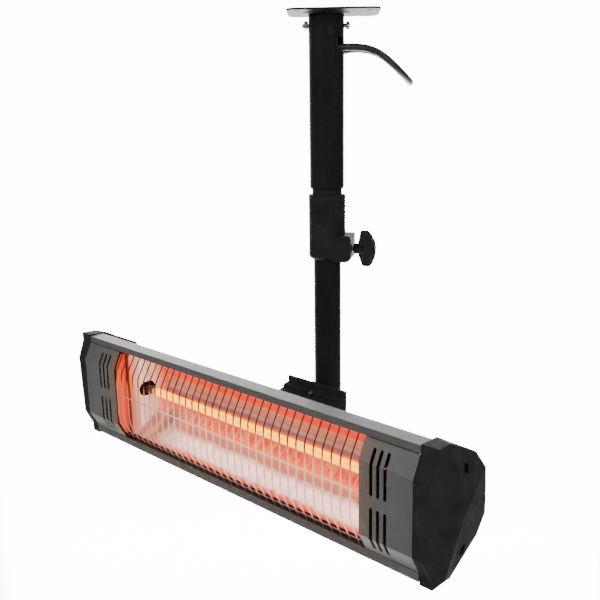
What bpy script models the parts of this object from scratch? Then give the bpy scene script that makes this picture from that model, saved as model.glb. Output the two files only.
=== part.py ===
"""Ceiling-hung infrared strip heater on a telescopic pole.

Metres, +Z up. The origin is the middle of the ceiling plate's top face, on the pole's axis.
The head's long side runs along X, and its open face looks along -Y.
"""
import math

import bmesh
import bpy
from mathutils import Matrix, Vector

MM = 0.001
GAP = 0.0003

# Driving dimensions of the head, in metres.
HEAD_LENGTH = 0.554
HEAD_LEFT_X = -0.277
FRONT_Y = -0.1875
RAIL_TOP_Z = -0.4175

# Pole and ceiling plate.
OUTER_TUBE_RADIUS = 0.0216
OUTER_TUBE_BORE = 0.0201
INNER_TUBE_RADIUS = 0.0175
INNER_TUBE_BORE = 0.0160
COLLAR_RADIUS = 0.0234
COLLAR_BORE = 0.0179
PLATE_THICKNESS = 0.0022
TUBE_TOP_Z = -0.0039
TUBE_END_Z = -0.2120
COLLAR_TOP_Z = -0.2192
COLLAR_END_Z = -0.3014
INNER_TUBE_TOP_Z = -0.1200
INNER_TUBE_END_Z = -0.5225
CROSS_BOLT_Z = -0.0166
SLOT_Z = -0.0383
CLAMP_Z = -0.2880

# Turns about the pole's axis, from +X.
MOUNT_TURN = math.radians(41.0)
CLAMP_TURN = math.radians(31.0)
PLUG_TURN = math.radians(-35.9)
KNOB_TILT = math.radians(30.0)

# Head section, in millimetres behind and above the front edge of the top rail.
PIVOT_SECTION = (120.0, -75.0)
LAMP_SECTION = (37.0, -69.0)
PANEL_LEFT_END = 70.0
PANEL_RIGHT_START = 489.5
GUARD_FIRST_WIRE = 72.6
GUARD_PITCH = 12.27
GUARD_WIRES = 34
WIRE = 1.6
CAP_APEX = (28.0, 38.5, -69.2)

CORD_DIAMETER = 0.0084
HANK_TURNS = 3
ROUND = 32

MOUNT_FRAME = Matrix.Rotation(MOUNT_TURN, 4, "Z")
CLAMP_FRAME = Matrix.Translation((0, 0, CLAMP_Z)) @ Matrix.Rotation(CLAMP_TURN, 4, "Z")

BLACK = (0.018, 0.018, 0.019)
STEEL = (0.55, 0.55, 0.56)
MATERIALS = {
    "powder_black": (BLACK, 0.45, 0.0),
    "moulded_black": ((0.022, 0.023, 0.025), 0.55, 0.0),
    "rubber_black": ((0.012, 0.012, 0.012), 0.7, 0.0),
    "zinc": (STEEL, 0.35, 1.0),
    "rail_aluminium": ((0.42, 0.42, 0.41), 0.38, 1.0),
    "panel_grey": ((0.16, 0.16, 0.16), 0.45, 0.3),
    "guard_steel": ((0.62, 0.58, 0.55), 0.25, 1.0),
    "mirror_aluminium": ((0.85, 0.82, 0.8), 0.12, 1.0),
    "quartz": ((0.95, 0.9, 0.85), 0.05, 0.0),
    "tungsten": ((1.0, 0.5, 0.15), 0.4, 1.0),
    "ceramic": ((0.78, 0.75, 0.68), 0.6, 0.0),
    "lead_sleeve": ((0.55, 0.5, 0.42), 0.6, 0.0),
    "brass": ((0.6, 0.42, 0.16), 0.3, 1.0),
    "nylon": ((0.7, 0.7, 0.66), 0.5, 0.0),
}


# Helpers -------------------------------------------------------------------------------------

def clear_scene():
    for old in list(bpy.data.objects):
        bpy.data.objects.remove(old, do_unlink=True)


def material(name):
    found = bpy.data.materials.get(name)
    if found:
        return found
    colour, roughness, metallic = MATERIALS[name]
    made = bpy.data.materials.new(name)
    made.use_nodes = True
    shader = made.node_tree.nodes["Principled BSDF"]
    shader.inputs["Base Color"].default_value = (*colour, 1.0)
    shader.inputs["Roughness"].default_value = roughness
    shader.inputs["Metallic"].default_value = metallic
    return made


def section(*points):
    """Head section points in millimetres, as (Y, Z) in metres."""
    return [(FRONT_Y + y * MM, RAIL_TOP_Z + z * MM) for y, z in points]


def head_x(millimetres):
    return HEAD_LEFT_X + millimetres * MM


def arc(centre, radius, start, end, steps):
    """Points of an arc, angles in degrees."""
    angles = [math.radians(start + (end - start) * i / steps) for i in range(steps + 1)]
    return [(centre[0] + radius * math.cos(a), centre[1] + radius * math.sin(a)) for a in angles]


def rounded_box(low, high, radius, steps=4):
    """Outline of a rectangle with round corners."""
    (x0, y0), (x1, y1) = low, high
    outline = []
    corners = ((x1, y1, 0), (x0, y1, 90), (x0, y0, 180), (x1, y0, 270))
    for x, y, start in corners:
        centre_x = x - radius if x == x1 else x + radius
        centre_y = y - radius if y == y1 else y + radius
        outline += arc((centre_x, centre_y), radius, start, start + 90, steps)
    return outline


def slot_outline(length, radius, steps=8):
    """Obround outline, long along its second axis, centred on zero."""
    half = length / 2 - radius
    return arc((0, half), radius, 0, 180, steps) + arc((0, -half), radius, 180, 360, steps)


def hexagon(across_flats):
    radius = across_flats / 2 / math.cos(math.radians(30))
    return arc((0, 0), radius, 0, 300, 5)


def thick_path(path, thickness):
    """Closed outline of a sheet that follows an open path, grown to the path's left."""
    offset = []
    for i, point in enumerate(path):
        here = Vector(point)
        normals = []
        for a, b in ((i - 1, i), (i, i + 1)):
            if a >= 0 and b < len(path):
                run = (Vector(path[b]) - Vector(path[a])).normalized()
                normals.append(Vector((-run.y, run.x)))
        mitre = sum(normals, Vector((0, 0))).normalized()
        offset.append(tuple(here + mitre * (thickness / mitre.dot(normals[0]))))
    return list(path) + offset[::-1]


def prism(outline, axis, low, high):
    """Outline extruded along an axis. X takes (Y, Z), Y takes (X, Z) and Z takes (X, Y)."""
    place = {
        "X": lambda p, d: (d, p[0], p[1]),
        "Y": lambda p, d: (p[0], d, p[1]),
        "Z": lambda p, d: (p[0], p[1], d),
    }[axis]
    mesh = bmesh.new()
    floor = [mesh.verts.new(place(p, low)) for p in outline]
    roof = [mesh.verts.new(place(p, high)) for p in outline]
    mesh.faces.new(floor)
    mesh.faces.new(roof)
    for i in range(len(outline)):
        j = (i + 1) % len(outline)
        mesh.faces.new((floor[i], floor[j], roof[j], roof[i]))
    bmesh.ops.recalc_face_normals(mesh, faces=mesh.faces)
    return mesh


def turned(profile, steps=ROUND):
    """Closed (radius, height) profile turned about Z. A zero radius is a point on the axis."""
    mesh = bmesh.new()
    rings = []
    for radius, height in profile:
        if radius == 0:
            rings.append([mesh.verts.new((0, 0, height))] * steps)
        else:
            turn = [2 * math.pi * (i + 0.5) / steps for i in range(steps)]
            rings.append([mesh.verts.new((radius * math.cos(a), radius * math.sin(a), height)) for a in turn])
    for k, ring in enumerate(rings):
        after = rings[(k + 1) % len(rings)]
        for i in range(steps):
            j = (i + 1) % steps
            corners = list(dict.fromkeys((ring[i], ring[j], after[j], after[i])))
            if len(corners) > 2:
                mesh.faces.new(corners)
    bmesh.ops.recalc_face_normals(mesh, faces=mesh.faces)
    return mesh


def ring(outer, bore, low, high, steps=ROUND):
    return turned([(outer, low), (outer, high), (bore, high), (bore, low)], steps)


def rod(radius, low, high, steps=16):
    return turned([(0, low), (radius, low), (radius, high), (0, high)], steps)


def along(direction, centre=(0, 0, 0)):
    """Matrix that lays the Z axis along a direction through a centre."""
    turn = Vector((0, 0, 1)).rotation_difference(Vector(direction)).to_matrix().to_4x4()
    return Matrix.Translation(centre) @ turn


def solid(name, mesh, finish, body=None, frame=None):
    """Object from a bmesh, with its material, parented to its body's empty."""
    if frame is not None:
        mesh.transform(frame)
    data = bpy.data.meshes.new(name)
    mesh.to_mesh(data)
    mesh.free()
    data.shade_smooth()
    data.set_sharp_from_angle(angle=math.radians(35))
    made = bpy.data.objects.new(name, data)
    bpy.context.collection.objects.link(made)
    made.data.materials.append(material(finish))
    if body is not None:
        made.parent = body
        made.matrix_parent_inverse = body.matrix_basis.inverted()
    return made


def boolean(target, mesh, operation, frame=None):
    """Cut a bmesh out of an object, or weld it on, with a hidden helper object."""
    helper = solid(f"{target.name}_{operation.lower()}_{len(target.modifiers)}", mesh, "zinc", target.parent, frame)
    helper.hide_render = True
    helper.display_type = "WIRE"
    step = target.modifiers.new(helper.name, "BOOLEAN")
    step.operation = operation
    step.object = helper
    step.solver = "EXACT"


def cut(target, mesh, frame=None):
    boolean(target, mesh, "DIFFERENCE", frame)


def weld(target, mesh, frame=None):
    boolean(target, mesh, "UNION", frame)


def joint_empty(name, place):
    made = bpy.data.objects.new(name, None)
    made.location = place
    made.empty_display_size = 0.02
    bpy.context.collection.objects.link(made)
    return made


def smooth_route(points, spacing):
    """Points at an even spacing along a smooth curve through a route."""
    route = [Vector(p) for p in points]
    ends = [2 * route[0] - route[1]] + route + [2 * route[-1] - route[-2]]
    fine = []
    for i in range(1, len(ends) - 2):
        a, b, c, d = ends[i - 1:i + 3]
        for k in range(20):
            t = k / 20
            fine.append(0.5 * (2 * b + (c - a) * t + (2 * a - 5 * b + 4 * c - d) * t ** 2
                               + (3 * b - a - 3 * c + d) * t ** 3))
    fine.append(route[-1])
    length = sum((q - p).length for p, q in zip(fine, fine[1:]))
    count = max(2, round(length / spacing))
    even, travelled, target = [fine[0]], 0.0, length / count
    for p, q in zip(fine, fine[1:]):
        step = (q - p).length
        while travelled + step >= target and len(even) < count:
            even.append(p.lerp(q, (target - travelled) / step))
            target += length / count
        travelled += step
    return even + [fine[-1]]


def round_cord(name, points, diameter, finish, body=None, spacing=2.5, resolution=2):
    """Round cord along a smooth route, as a bevelled curve with filled ends."""
    data = bpy.data.curves.new(name, "CURVE")
    data.dimensions = "3D"
    data.bevel_depth = diameter / 2
    data.bevel_resolution = resolution
    data.use_fill_caps = True
    route = smooth_route(points, spacing * diameter)
    spline = data.splines.new("POLY")
    spline.points.add(len(route) - 1)
    for knot, place in zip(spline.points, route):
        knot.co = (*place, 1.0)
    data.materials.append(material(finish))
    made = bpy.data.objects.new(name, data)
    bpy.context.collection.objects.link(made)
    if body is not None:
        made.parent = body
        made.matrix_parent_inverse = body.matrix_basis.inverted()
    return made


# Ceiling mount -------------------------------------------------------------------------------

def ceiling_plate():
    low, high = (-0.047, -0.040), (0.064, 0.034)
    plate = solid("ceiling_plate", prism(rounded_box(low, high, 0.012), "Z", -PLATE_THICKNESS, 0),
                  "powder_black", frame=MOUNT_FRAME)
    boss = [(0, -0.0018), (0.031, -0.0018), (0.031, -0.0023), (0.0265, -0.0036), (0, -0.0036)]
    weld(plate, turned(boss))
    for x in (low[0] + 0.012, high[0] - 0.012):
        for y in (low[1] + 0.012, high[1] - 0.012):
            cut(plate, rod(0.0028, -0.01, 0.01), MOUNT_FRAME @ Matrix.Translation((x, y, 0)))


def upper_tube():
    spigot = solid("plate_spigot", ring(0.0198, 0.0178, -0.0235, TUBE_TOP_Z), "powder_black")
    profile = [
        (OUTER_TUBE_RADIUS, TUBE_TOP_Z),
        (OUTER_TUBE_RADIUS, TUBE_END_Z + 0.0030),
        (0.0203, TUBE_END_Z),
        (0.0192, TUBE_END_Z),
        (0.0192, TUBE_END_Z + 0.0010),
        (OUTER_TUBE_BORE, TUBE_END_Z + 0.0038),
        (OUTER_TUBE_BORE, TUBE_TOP_Z),
    ]
    tube = solid("upper_tube", turned(profile, 40), "powder_black")
    across = MOUNT_FRAME @ along((1, 0, 0), (0, 0, CROSS_BOLT_Z))
    for part in (spigot, tube):
        cut(part, rod(0.0032, -0.03, 0.03), across)
    cut(tube, prism(slot_outline(0.0200, 0.0056), "X", 0.012, 0.03), Matrix.Translation((0, 0, SLOT_Z)))
    plug_frame = Matrix.Rotation(PLUG_TURN, 4, "Z") @ Matrix.Translation((0, 0, -0.0238))
    cut(tube, prism(slot_outline(0.0068, 0.0030), "X", 0.012, 0.03), plug_frame)
    plug = solid("tube_blanking_plug", prism(slot_outline(0.0132, 0.0044), "X", 0.0219, 0.0230),
                 "moulded_black", frame=plug_frame)
    weld(plug, prism(slot_outline(0.0060, 0.0026), "X", 0.0204, 0.0225), plug_frame)


def cross_bolt():
    across = MOUNT_FRAME @ along((1, 0, 0), (0, 0, CROSS_BOLT_Z))
    head = [(0, 0.0240), (0.0044, 0.0240), (0.0052, 0.0252), (0.0045, 0.0276), (0.0025, 0.0286), (0, 0.0288)]
    bolt = solid("cross_bolt", turned(head, 20), "zinc", frame=across)
    weld(bolt, rod(0.0028, -0.0292, 0.0250), across)
    nut = solid("cross_bolt_nut", prism(hexagon(0.0102), "Z", -0.0268, -0.0220), "zinc", frame=across)
    cut(nut, rod(0.0031, -0.03, -0.02), across)


def clamp_collar():
    profile = [
        (COLLAR_BORE, COLLAR_END_Z),
        (0.0196, COLLAR_END_Z),
        (COLLAR_RADIUS, COLLAR_END_Z + 0.0036),
        (COLLAR_RADIUS, COLLAR_TOP_Z - 0.0006),
        (COLLAR_RADIUS - 0.0008, COLLAR_TOP_Z),
        (0.0188, COLLAR_TOP_Z),
        (0.0188, -0.2070),
        (0.0196, -0.2060),
        (0.0196, -0.2000),
        (COLLAR_BORE, -0.2000),
    ]
    collar = solid("clamp_collar", turned(profile, 40), "moulded_black")
    boss_low, boss_high, boss_end = -0.0148, 0.0180, 0.0332
    outline = [(0.0100, boss_high), (0.0100, boss_low)]
    outline += arc((boss_end - 0.0060, boss_low + 0.0060), 0.0060, 270, 360, 4)
    outline += arc((boss_end - 0.0025, boss_high - 0.0025), 0.0025, 0, 90, 3)
    weld(collar, prism(outline, "Y", -0.0205, 0.0205), CLAMP_FRAME)
    cut(collar, ring_bore(COLLAR_BORE, -0.33, -0.19, 40))
    outward = CLAMP_FRAME @ along((1, 0, 0))
    cut(collar, rod(0.0034, 0.010, 0.040), outward)
    cut(collar, prism(hexagon(0.0108), "Z", 0.0286, 0.040), outward)
    nut = solid("clamp_nut", prism(hexagon(0.0100), "Z", 0.0290, 0.0337), "zinc", frame=outward)
    cut(nut, rod(0.0033, 0.02, 0.04), outward)


def ring_bore(radius, low, high, steps):
    return turned([(0, low), (radius, low), (radius, high), (0, high)], steps)


# Clamp screw and telescopic tube --------------------------------------------------------------

def clamp_screw(pad_body, knob_body):
    outward = CLAMP_FRAME @ along((1, 0, 0))
    solid("clamp_pad", rod(0.0029, 0.0178, 0.0203), "brass", pad_body, outward)
    solid("knob_stud", rod(0.0030, 0.0206, 0.0440), "zinc", knob_body, outward)
    wing = [(0.0405, 0.0075), (0.0440, 0.0240)]
    wing += arc((0.0465, 0.0235), 0.0025, 160, 90, 2)
    wing += [(0.0540, 0.0262), (0.0585, 0.0190), (0.0620, 0.0095), (0.0630, 0)]
    wing += [(d, -rho) for d, rho in wing[-2::-1]]
    turn = CLAMP_FRAME @ Matrix.Rotation(KNOB_TILT, 4, "X")
    knob = solid("wing_knob", prism(wing, "Y", -0.0045, 0.0045), "moulded_black", knob_body, turn)
    hub = [(0, 0.0343), (0.0062, 0.0343), (0.0067, 0.0349), (0.0067, 0.0480), (0, 0.0480)]
    weld(knob, turned(hub, 24), outward)
    cut(knob, rod(0.0033, 0.030, 0.0445), outward)


def telescopic_tube(slide_body, swivel_body):
    top = INNER_TUBE_TOP_Z
    bush = [
        (0.0197, top - 0.0150), (0.0197, top + 0.0020), (0.0150, top + 0.0020),
        (0.0150, top + GAP), (COLLAR_BORE, top + GAP), (COLLAR_BORE, top - 0.0150),
    ]
    solid("guide_bush", turned(bush), "nylon", slide_body)
    tube = solid("lower_tube", ring(INNER_TUBE_RADIUS, INNER_TUBE_BORE, INNER_TUBE_END_Z, top),
                 "powder_black", swivel_body)
    for frame in saddle_bolt_frames():
        cut(tube, rod(0.0034, -0.03, 0.03), frame)
    end = INNER_TUBE_END_Z
    plug = [
        (0, end - 0.0030), (0.0163, end - 0.0030), (0.0175, end - 0.0018), (0.0175, end - GAP),
        (0.0156, end - GAP), (0.0156, end + 0.0070), (0, end + 0.0070),
    ]
    solid("tube_end_plug", turned(plug), "moulded_black", swivel_body)


# Tilt bracket ----------------------------------------------------------------------------------

def saddle_bolt_frames():
    """Bolt axes run along Y through the pole, at two heights."""
    heights = [RAIL_TOP_Z + z * MM for z in (-60.0, -90.0)]
    return [along((0, 1, 0), (0, 0, z)) for z in heights]


def tilt_bracket(swivel_body):
    half_width = 0.050
    upper = [
        (166.6, -50.5), (165.4, -48.6), (163.6, -48.4), (162.8, -50.5), (162.8, -56.4), (160.0, -57.4),
        (154.4, -58.0), (153.2, -59.0), (152.6, -62.0), (150.0, -63.2), (142.6, -64.2), (134.0, -65.0),
    ]
    lower = [(y, 2 * PIVOT_SECTION[1] - z) for y, z in reversed(upper)]
    bracket = solid("rear_bracket", prism(section(*upper, *lower), "X", -half_width, half_width),
                    "moulded_black", swivel_body)
    pivot = section(PIVOT_SECTION)[0]
    knuckle = arc(pivot, 0.0110, 80, 280, 12)
    knuckle += section((140.0, -86.0), (140.0, -64.0))
    weld(bracket, prism(knuckle, "X", -0.0182, 0.0182))
    cut(bracket, rod(0.0043, -0.03, 0.03), along((1, 0, 0), (0, *pivot)))
    for frame in saddle_bolt_frames():
        cut(bracket, rod(0.0034, -0.0400, -0.0100), frame)
    saddle_outline = [(-0.0150, -0.0204), (0.0150, -0.0204)]
    saddle_outline += arc((0, 0), 0.0179, -33, -147, 10)
    saddle = solid("pole_saddle", prism(saddle_outline, "Z", RAIL_TOP_Z - 0.0980, RAIL_TOP_Z - 0.0520),
                   "moulded_black", swivel_body)
    for frame in saddle_bolt_frames():
        cut(saddle, rod(0.0034, -0.04, 0.0), frame)
    for place, frame in zip(("upper", "lower"), saddle_bolt_frames()):
        head = [(0, 0.0179), (0.0062, 0.0179), (0.0062, 0.0192), (0.0050, 0.0196), (0.0046, 0.0228), (0, 0.0232)]
        bolt = solid(f"saddle_bolt_{place}", turned(head, 20), "zinc", swivel_body, frame)
        weld(bolt, rod(0.0030, -0.0370, 0.0190), frame)


def tilt_hinge(head_body):
    pivot = section(PIVOT_SECTION)[0]
    base = section((93.1, -54.0), (95.7, -97.0), (98.4, -97.0), (95.9, -54.0))
    bracket = solid("hinge_bracket", prism(base, "X", -0.032, 0.032), "powder_black", head_body)
    ear = arc(pivot, 0.0110, 90, -90, 12) + section((97.0, -93.0), (95.4, -58.0))
    for side in (-1, 1):
        inner, outer = sorted((side * 0.0198, side * 0.0223))
        weld(bracket, prism(ear, "X", inner, outer))
    across = along((1, 0, 0), (0, *pivot))
    cut(bracket, rod(0.0043, -0.04, 0.04), across)
    bolt = solid("pivot_bolt", prism(hexagon(0.0130), "Z", 0.0226, 0.0279), "zinc", head_body, across)
    weld(bolt, turned([(0, -0.0310), (0.0037, -0.0310), (0.0040, -0.0304), (0.0040, 0.0230), (0, 0.0230)], 24), across)
    nut = solid("pivot_nut", prism(hexagon(0.0130), "Z", -0.0292, -0.0227), "zinc", head_body, across)
    cut(nut, rod(0.0043, -0.04, -0.02), across)
    for name, low in (("left", -0.0195), ("right", 0.0185)):
        solid(f"friction_washer_{name}", ring(0.0100, 0.0044, low, low + 0.0010, 24), "nylon", head_body, across)
    for name, x in (("left", -0.0270), ("right", 0.0270)):
        frame = along((0, 1, 0), (x, *section((0, -75.0))[0]))
        cut(bracket, rod(0.0028, 0.08, 0.12), frame)
        head = [(0, 0.0975), (0.0024, 0.0975), (0.0046, 0.0977), (0.0046, 0.0990), (0.0030, 0.1004), (0, 0.1006)]
        screw = solid(f"hinge_screw_{name}", turned(head, 16), "zinc", head_body, frame)
        weld(screw, rod(0.0024, 0.0880, 0.0985), frame)


# Head casing -----------------------------------------------------------------------------------

CASING = (
    (0, -8.2), (0, 0), (19.5, 0), (72.0, -27.5), (92.5, -51.5), (95.5, -101.0),
    (81.0, -119.5), (33.5, -142.0), (1.5, -142.0), (1.5, -132.2),
)
PANEL = ((-0.3, -8.8), (-11.0, -30.6), (-10.3, -110.4), (1.6, -131.6))
CAP_OUTLINE = (
    (-0.3, 1.7), (25.4, 0.7), (74.6, -26.6), (95.6, -51.0), (97.2, -70.0), (98.3, -102.3), (83.0, -121.2),
    (34.2, -147.5), (20.0, -146.7), (2.5, -145.3), (2.4, -134.5), (-10.0, -111.0), (-11.2, -31.0), (-0.3, -9.6),
)
CAP_RIM = (
    (-0.3, 1.7, 19.7), (20.0, 1.0, 18.6), (74.6, -26.6, 14.0), (95.6, -51.0, 14.0), (97.2, -70.0, 14.0),
    (98.3, -102.3, 14.0), (83.0, -121.2, 14.0), (34.2, -147.5, 14.0), (16.4, -140.8, 18.6), (2.5, -145.3, 14.5),
    (2.4, -134.5, 14.9), (-10.0, -111.0, 12.4), (-11.2, -31.0, 15.2), (-0.3, -9.6, 19.2),
)
CAP_SCREWS = ((47.0, -33.0), (50.0, -121.5))


def housing(head_body):
    sheet = thick_path(section(*CASING), -0.0018)
    shell = solid("housing", prism(sheet, "X", head_x(0.3), head_x(553.7)), "rail_aluminium", head_body)
    for x in (-0.0270, 0.0270):
        cut(shell, rod(0.0028, 0.08, 0.12), along((0, 1, 0), (x, *section((0, -75.0))[0])))


def louvre_panel(name, low, high, columns, head_body):
    sheet = thick_path(section(*PANEL), 0.0012)
    panel = solid(name, prism(sheet, "X", head_x(low), head_x(high)), "panel_grey", head_body)
    for centre in columns:
        for top, bottom in ((-15.8, -64.0), (-76.5, -124.5)):
            slot = slot_outline((top - bottom) * MM, 0.0019, 4)
            middle = Matrix.Translation((head_x(centre), FRONT_Y, RAIL_TOP_Z + (top + bottom) / 2 * MM))
            cut(panel, prism(slot, "Y", -0.03, 0.012), middle)


def end_cap(name, inner, outward, head_body):
    """Faceted cap: a straight band, then one large front facet and smaller ones up to an off-centre point."""
    cap = solid(name, faceted_shell(inner, outward, 0.0, 0.0, 1.0), "moulded_black", head_body)
    cut(cap, faceted_shell(inner, outward, -1.0, 2.6, 0.955))
    for y, z in CAP_SCREWS:
        centre = section((y, z))[0]
        axis = along((outward, 0, 0), (head_x(inner), *centre))
        weld(cap, rod(0.0075, 0.0002, 0.0160, 20), axis)
        cut(cap, rod(0.0056, 0.0080, 0.0400, 20), axis)
        cut(cap, rod(0.0024, -0.0100, 0.0200), axis)


def shrunk(place, scale):
    """Cap section point drawn in towards the middle of the cap."""
    centre_y, centre_z = CAP_APEX[1], CAP_APEX[2] - 3.0
    return section((centre_y + (place[0] - centre_y) * scale, centre_z + (place[1] - centre_z) * scale))[0]


def faceted_shell(inner, outward, start, wall, scale):
    mesh = bmesh.new()
    base = [mesh.verts.new((head_x(inner + outward * start), *shrunk(p, scale))) for p in CAP_OUTLINE]
    rim = [mesh.verts.new((head_x(inner + outward * (p[2] - wall)), *shrunk(p, scale))) for p in CAP_RIM]
    tip = mesh.verts.new((head_x(inner + outward * (CAP_APEX[0] - wall)), *section(CAP_APEX[1:])[0]))
    mesh.faces.new(base)
    for i in range(len(base)):
        j = (i + 1) % len(base)
        mesh.faces.new((base[i], base[j], rim[j]))
        mesh.faces.new((base[i], rim[j], rim[i]))
        mesh.faces.new((rim[i], rim[j], tip))
    bmesh.ops.recalc_face_normals(mesh, faces=mesh.faces)
    return mesh


def end_frame(name, low, head_body):
    """Sheet bulkhead just inside the casing's end, which the cap's screws pull on."""
    outline = section(
        (2.4, -3.0), (18.8, -3.0), (70.6, -30.2), (89.8, -52.6), (92.6, -100.4), (79.4, -117.4), (32.6, -137.4),
        (4.2, -137.4), (4.2, -132.0), (-8.4, -110.0), (-9.2, -31.4), (2.4, -9.0),
    )
    frame = solid(name, prism(outline, "X", head_x(low), head_x(low + 1.2)), "zinc", head_body)
    for y, z in CAP_SCREWS:
        cut(frame, rod(0.0023, -0.02, 0.02), along((1, 0, 0), (head_x(low), *section((y, z))[0])))


def cap_screws(side, inner, outward, head_body):
    for place, spot in zip(("upper", "lower"), CAP_SCREWS):
        axis = along((outward, 0, 0), (head_x(inner), *section(spot)[0]))
        head = [(0, 0.0083), (0.0036, 0.0083), (0.0040, 0.0092), (0.0034, 0.0106), (0, 0.0112)]
        screw = solid(f"cap_screw_{side}_{place}", turned(head, 16), "zinc", head_body, axis)
        weld(screw, rod(0.0020, -0.0090, 0.0088), axis)


def wiring_cover(head_body):
    """Low narrow cover along the top of the casing's sloping back, open underneath."""
    outline = section((23.2, -1.5), (25.4, 0.2), (36.0, -5.3), (38.2, -9.3))
    cover = solid("wiring_cover", prism(outline, "X", head_x(2.5), head_x(57.4)), "moulded_black", head_body)
    hollow = section((27.0, -8.0), (27.0, -2.0), (34.8, -6.1), (34.8, -14.0))
    cut(cover, prism(hollow, "X", head_x(4.5), head_x(55.4)))


# Guard, lamp and reflector ---------------------------------------------------------------------

def wire_guard(head_body):
    path = section((4.6, -5.4), (3.4, -10.6), (-10.2, -34.0), (-10.2, -98.5), (3.6, -128.6), (5.6, -134.4))
    outline = thick_path(path, WIRE * MM)
    first = head_x(GUARD_FIRST_WIRE)
    guard = None
    mesh = bmesh.new()
    for i in range(GUARD_WIRES):
        centre = first + i * GUARD_PITCH * MM
        wire = prism(outline, "X", centre - WIRE * MM / 2, centre + WIRE * MM / 2)
        data = bpy.data.meshes.new("wire")
        wire.to_mesh(data)
        mesh.from_mesh(data)
        wire.free()
    guard = solid("wire_guard", mesh, "guard_steel", head_body)
    for y, z in ((4.8, -9.4), (-9.0, -67.0), (5.2, -128.8)):
        bar = rounded_box(section((y, z - 1.0))[0], section((y + 2.0, z + 1.0))[0], 0.0004, 1)
        weld(guard, prism(bar, "X", first - 0.0010, first + ((GUARD_WIRES - 1) * GUARD_PITCH + 1.0) * MM))


def reflector(head_body):
    path = section((10.0, -12.9), (38.0, -25.5), (62.0, -44.0), (70.5, -60.0), (70.5, -80.0), (62.0, -96.0),
                   (38.0, -115.5), (10.0, -127.6))
    solid("reflector", prism(thick_path(path, 0.0008), "X", head_x(76.6), head_x(483.4)), "mirror_aluminium", head_body)
    outline = section((8.3, -11.2), (39.0, -24.0), (64.0, -43.0), (73.0, -60.0), (73.0, -80.0), (64.0, -97.5),
                      (39.0, -117.4), (8.3, -129.6))
    lip = section((8.8, -12.5), (0.6, -12.5), (-8.2, -31.0), (-8.0, -108.0), (0.8, -125.0), (8.8, -125.0))
    web = section((8.8, -12.5), (7.6, -12.5), (7.6, -125.0), (8.8, -125.0))
    ends = (("left", 75.2, 70.2, (70.5, 75.6)), ("right", 483.8, 488.3, (484.4, 488.7)))
    for name, low, lip_low, (web_low, web_high) in ends:
        plate = solid(f"reflector_end_{name}", prism(outline, "X", head_x(low), head_x(low + 1.0)),
                      "mirror_aluminium", head_body)
        hole = slot_outline(0.027, 0.0102)
        turn = Matrix.Translation((0, *section(LAMP_SECTION)[0])) @ Matrix.Rotation(math.pi / 2, 4, "X")
        cut(plate, prism(hole, "X", head_x(low - 3.0), head_x(low + 3.0)), turn)
        weld(plate, prism(web, "X", head_x(web_low), head_x(web_high)))
        weld(plate, prism(lip, "X", head_x(lip_low), head_x(lip_low + 0.7)))


def lamp(head_body):
    axis = along((1, 0, 0), (0, *section(LAMP_SECTION)[0]))
    solid("quartz_tube", ring(0.0052, 0.0042, head_x(93.0), head_x(463.0), 16), "quartz", head_body, axis)
    solid("filament", rod(0.0016, head_x(94.5), head_x(461.5), 8), "tungsten", head_body, axis)
    for name, low, high, inner in (("left", 60.0, 92.7, 1), ("right", 463.3, 496.0, -1)):
        solid(f"lamp_base_{name}", lamp_base_mesh(head_x(low), head_x(high), inner), "ceramic", head_body, axis)
    for name, low in (("left", 65.0), ("right", 489.8)):
        outline = section((14.0, -82.0), (91.6, -82.0), (90.4, -56.0), (14.0, -56.0))
        holder = solid(f"lamp_holder_{name}", prism(outline, "X", head_x(low), head_x(low + 1.2)), "zinc", head_body)
        cut(holder, rod(0.0064, -0.40, 0.40, 20), axis)


def lamp_base_mesh(low, high, inner):
    """Ceramic lamp end, stepped down at the side that faces the glass."""
    step = 0.006
    if inner > 0:
        profile = [(0, low), (0.0060, low), (0.0060, high - step), (0.0050, high), (0, high)]
    else:
        profile = [(0, low), (0.0050, low), (0.0060, low + step), (0.0060, high), (0, high)]
    return turned(profile, 20)


def wiring(head_body):
    block = section((62.0, -84.0), (80.0, -84.0), (80.0, -64.0), (74.0, -60.0), (66.0, -60.0), (62.0, -64.0))
    terminal = solid("terminal_block", prism(block, "X", head_x(16.0), head_x(50.0)), "ceramic", head_body)
    for x in (21.0, 33.0, 45.0):
        cut(terminal, rod(0.0026, -0.01, 0.009, 12), along((0, 1, 0), (head_x(x), *section((62.0, -74.0))[0])))
    cut_out = [(0, 0), (0.0085, 0), (0.0085, 0.0052), (0.0060, 0.0066), (0, 0.0066)]
    solid("thermal_cutout", turned(cut_out, 24), "nylon", head_body,
          along((0, 1, 0), (head_x(250.0), *section((73.6, -70.0))[0])))
    left = ((59.4, 37.0, -69.0), (55.0, 37.6, -69.2), (49.0, 43.0, -70.5), (46.2, 52.0, -72.0), (45.0, 61.4, -74.0))
    right = ((496.6, 37.0, -69.0), (501.0, 37.6, -69.4), (509.0, 45.0, -72.0), (513.0, 60.0, -77.0),
             (508.0, 76.0, -83.0), (494.0, 82.6, -86.0), (470.0, 83.0, -86.5), (380.0, 83.0, -87.5),
             (280.0, 83.0, -87.0), (180.0, 83.0, -87.5), (90.0, 83.0, -86.5), (66.0, 82.6, -85.8),
             (57.6, 79.8, -81.0), (52.4, 75.0, -74.5))
    for name, places in (("left", left), ("right", right)):
        route = [(head_x(x), *section((y, z))[0]) for x, y, z in places]
        round_cord(f"lamp_lead_{name}", route, 0.0030, "lead_sleeve", head_body, spacing=2.5)


# Supply cord -----------------------------------------------------------------------------------

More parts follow.
